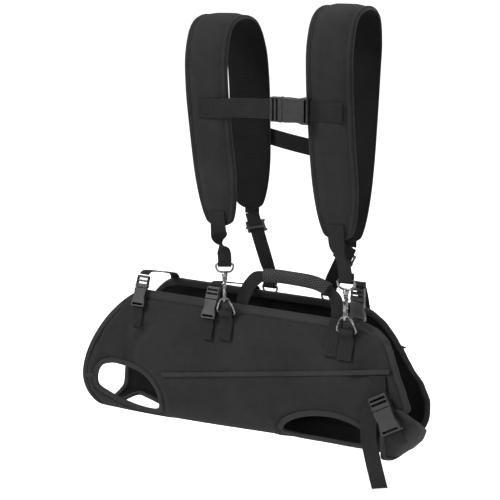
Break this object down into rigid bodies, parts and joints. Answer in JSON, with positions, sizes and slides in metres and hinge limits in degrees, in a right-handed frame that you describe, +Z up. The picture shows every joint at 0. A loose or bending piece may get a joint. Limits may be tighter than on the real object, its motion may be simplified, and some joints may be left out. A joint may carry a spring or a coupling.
{
  "type": "dog lift and carry sling",
  "caption": "Cloth dog-carrying sling hung by snap hooks from a pair of padded shoulder straps, with leg openings, grab handle and side-release buckles.",
  "frame": {"origin": "midway between the two shoulder pads' arches, where the wearer's shoulders carry them", "axes": "+Z up, +X along the sling towards its chest end, +Y towards the sling's far side, away from the leg of the sling that carries the grab handle"},
  "size_m": [0.5818, 0.1861, 0.6639],
  "materials": {
    "nylon_cloth": "matt padded woven nylon, near black",
    "mesh_lining": "matt spacer mesh, black",
    "honeycomb_mesh": "matt honeycomb mesh, near black",
    "webbing": "matt woven webbing, black",
    "buckle_plastic": "satin moulded plastic, black",
    "dark_steel": "dark polished steel"
  },
  "bodies": {
    "sling": {"side_panel_near": "nylon_cloth", "side_panel_far": "nylon_cloth", "belly_panel": "nylon_cloth", "chest_panel": "nylon_cloth", "pad_cover_rear": "nylon_cloth", "pad_lining_rear": "mesh_lining", "web_near_rear": "webbing", "pad_loop_rear": "webbing", "web_far_rear": "webbing", "hook_eye_near_rear": "dark_steel", "ring_tab_near_rear": "webbing", "hook_eye_far_rear": "dark_steel", "ring_tab_far_rear": "webbing", "pad_cover_front": "nylon_cloth", "pad_lining_front": "mesh_lining", "web_near_front": "webbing", "pad_loop_front": "webbing", "web_far_front": "webbing", "hook_eye_near_front": "dark_steel", "ring_tab_near_front": "webbing", "hook_eye_far_front": "dark_steel", "ring_tab_far_front": "webbing", "closure_rear_socket": "buckle_plastic", "closure_rear_tab": "webbing", "closure_middle_socket": "buckle_plastic", "closure_middle_tab": "webbing", "closure_front_socket": "buckle_plastic", "closure_front_tab": "webbing", "sternum_socket": "buckle_plastic", "sternum_anchor": "webbing", "back_strap": "webbing", "handle_anchor": "webbing", "chest_socket": "buckle_plastic", "chest_tab": "webbing"},
    "handle": {"handle_webbing": "webbing", "handle_grip": "honeycomb_mesh"},
    "closure_rear_plug_side": {"closure_rear_plug": "buckle_plastic", "closure_rear_strap": "webbing"},
    "closure_middle_plug_side": {"closure_middle_plug": "buckle_plastic", "closure_middle_strap": "webbing"},
    "closure_front_plug_side": {"closure_front_plug": "buckle_plastic", "closure_front_strap": "webbing"},
    "sternum_plug_side": {"sternum_plug": "buckle_plastic", "sternum_web": "webbing"},
    "chest_plug_side": {"chest_plug": "buckle_plastic", "chest_strap": "webbing"},
    "hook_near_rear": {"hook_body_near_rear": "dark_steel"},
    "gate_near_rear": {"hook_gate_near_rear": "dark_steel"},
    "ring_near_rear": {"ring_near_rear": "dark_steel"},
    "hook_near_front": {"hook_body_near_front": "dark_steel"},
    "gate_near_front": {"hook_gate_near_front": "dark_steel"},
    "ring_near_front": {"ring_near_front": "dark_steel"},
    "hook_far_rear": {"hook_body_far_rear": "dark_steel"},
    "gate_far_rear": {"hook_gate_far_rear": "dark_steel"},
    "ring_far_rear": {"ring_far_rear": "dark_steel"},
    "hook_far_front": {"hook_body_far_front": "dark_steel"},
    "gate_far_front": {"hook_gate_far_front": "dark_steel"},
    "ring_far_front": {"ring_far_front": "dark_steel"},
    "glide_rear": {"glide_rear": "buckle_plastic"},
    "glide_front": {"glide_front": "buckle_plastic"}
  },
  "joints": [
    {"name": "handle_fold", "type": "hinge", "parent": "sling", "child": "handle", "pos_m": [0, -0.04279, -0.42135], "axis": [-1, 0, 0], "range_deg": [0, 65]},
    {"name": "closure_rear_release", "type": "slide", "parent": "sling", "child": "closure_rear_plug_side", "axis": [0.0001, 0.3784, 0.9257], "range_m": [0, 0.017]},
    {"name": "closure_middle_release", "type": "slide", "parent": "sling", "child": "closure_middle_plug_side", "axis": [0.0004, 0.3846, 0.9231], "range_m": [0, 0.017]},
    {"name": "closure_front_release", "type": "slide", "parent": "sling", "child": "closure_front_plug_side", "axis": [0, 0, 1], "range_m": [0, 0.017]},
    {"name": "sternum_release", "type": "slide", "parent": "sling", "child": "sternum_plug_side", "axis": [-1, 0, 0], "range_m": [0, 0.027]},
    {"name": "chest_release", "type": "slide", "parent": "sling", "child": "chest_plug_side", "axis": [-0.5001, 0.1, 0.8602], "range_m": [0, 0.023]},
    {"name": "hook_swivel_near_rear", "type": "hinge", "parent": "sling", "child": "hook_near_rear", "pos_m": [-0.0625, -0.06175, -0.37905], "axis": [0, 0, 1], "range_deg": [-38, 2]},
    {"name": "gate_near_rear", "type": "hinge", "parent": "hook_near_rear", "child": "gate_near_rear", "pos_m": [-0.06654, -0.05416, -0.38905], "axis": [-0.8829, -0.4695, 0], "range_deg": [0, 22], "stiffness_Nm_per_rad": 0.002, "springref_deg": -20.05},
    {"name": "ring_hinge_near_rear", "type": "hinge", "parent": "sling", "child": "ring_near_rear", "pos_m": [-0.0625, -0.05775, -0.43405], "axis": [1, 0, 0], "range_deg": [-2, 2]},
    {"name": "hook_swivel_near_front", "type": "hinge", "parent": "sling", "child": "hook_near_front", "pos_m": [0.134, -0.0622, -0.37905], "axis": [0, 0, 1], "range_deg": [-12, 12]},
    {"name": "gate_near_front", "type": "hinge", "parent": "hook_near_front", "child": "gate_near_front", "pos_m": [0.13177, -0.05389, -0.38905], "axis": [-0.9659, -0.2588, 0], "range_deg": [0, 22], "stiffness_Nm_per_rad": 0.002, "springref_deg": -20.05},
    {"name": "ring_hinge_near_front", "type": "hinge", "parent": "sling", "child": "ring_near_front", "pos_m": [0.134, -0.0582, -0.43405], "axis": [1, 0, 0], "range_deg": [-2, 2]},
    {"name": "hook_swivel_far_rear", "type": "hinge", "parent": "sling", "child": "hook_far_rear", "pos_m": [-0.067, 0.08294, -0.44405], "axis": [0, 0, 1], "range_deg": [-38, 2]},
    {"name": "gate_far_rear", "type": "hinge", "parent": "hook_far_rear", "child": "gate_far_rear", "pos_m": [-0.07104, 0.09053, -0.45405], "axis": [-0.8829, -0.4695, 0], "range_deg": [0, 22], "stiffness_Nm_per_rad": 0.002, "springref_deg": -20.05},
    {"name": "ring_hinge_far_rear", "type": "hinge", "parent": "sling", "child": "ring_far_rear", "pos_m": [-0.067, 0.07894, -0.49905], "axis": [1, 0, 0], "range_deg": [-2, 2]},
    {"name": "hook_swivel_far_front", "type": "hinge", "parent": "sling", "child": "hook_far_front", "pos_m": [0.036, 0.0832, -0.44405], "axis": [0, 0, 1], "range_deg": [-12, 12]},
    {"name": "gate_far_front", "type": "hinge", "parent": "hook_far_front", "child": "gate_far_front", "pos_m": [0.03377, 0.09151, -0.45405], "axis": [-0.9659, -0.2588, 0], "range_deg": [0, 22], "stiffness_Nm_per_rad": 0.002, "springref_deg": -20.05},
    {"name": "ring_hinge_far_front", "type": "hinge", "parent": "sling", "child": "ring_far_front", "pos_m": [0.036, 0.0792, -0.49905], "axis": [1, 0, 0], "range_deg": [-2, 2]},
    {"name": "glide_slide_rear", "type": "slide", "parent": "sling", "child": "glide_rear", "axis": [0.2307, 0.16, -0.9598], "range_m": [0, 0.03]},
    {"name": "glide_slide_front", "type": "slide", "parent": "sling", "child": "glide_front", "axis": [-0.4659, 0.2157, -0.8582], "range_m": [0, 0.03]}
  ]
}
